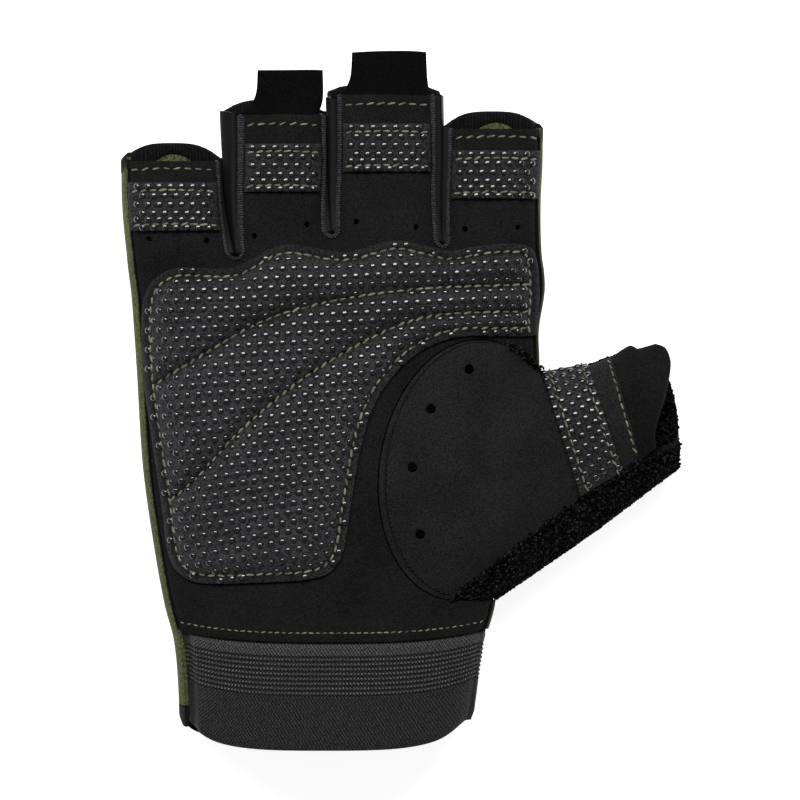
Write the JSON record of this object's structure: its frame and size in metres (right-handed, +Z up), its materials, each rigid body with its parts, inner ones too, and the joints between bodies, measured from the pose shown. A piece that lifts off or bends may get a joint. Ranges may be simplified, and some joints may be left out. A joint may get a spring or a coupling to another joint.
{
  "type": "weightlifting glove",
  "caption": "Half-finger weightlifting glove for the right hand, palm up, with a quilted grip pad, suede palm and thumb, stretch back, pull tabs and elastic wrist.",
  "frame": {"origin": "under the middle of the glove's own box, on the surface that the back of the glove lies on", "axes": "+X across the hand towards the thumb, +Y from the wrist to the fingertips, +Z up out of the palm"},
  "size_m": [0.1398, 0.1742, 0.0328],
  "materials": {
    "suede": "matte black synthetic suede, napped",
    "olive_fabric": "matte olive stretch fabric",
    "strip_fabric": "smooth black stretch fabric with an overlocked edge",
    "grip_pad": "charcoal fabric printed with glossy black dots",
    "terry": "black terry, looped",
    "elastic": "charcoal knitted elastic, ribbed across the middle",
    "knit_binding": "black ribbed knit binding",
    "strap": "black hook-and-loop tape"
  },
  "bodies": {
    "root": {"palm_panel": "suede", "back_panel": "olive_fabric", "side_strip_pinky_ring": "strip_fabric", "side_strip_ring_middle": "strip_fabric", "side_strip_middle_index": "strip_fabric", "opening_binding_pinky": "knit_binding", "opening_binding_ring": "knit_binding", "opening_binding_middle": "knit_binding", "opening_binding_index": "knit_binding", "grip_patch_pinky": "grip_pad", "grip_patch_ring": "grip_pad", "grip_patch_middle": "grip_pad", "grip_patch_index": "grip_pad", "grip_patch_thumb": "grip_pad", "pull_tab_ring": "suede", "pull_tab_middle": "suede", "pull_tab_thumb": "suede", "palm_pad": "grip_pad", "thumb_panel": "suede", "thumb_back": "terry", "cuff": "elastic", "wrist_binding": "knit_binding", "closure_strap": "strap"}
  },
  "joints": []
}
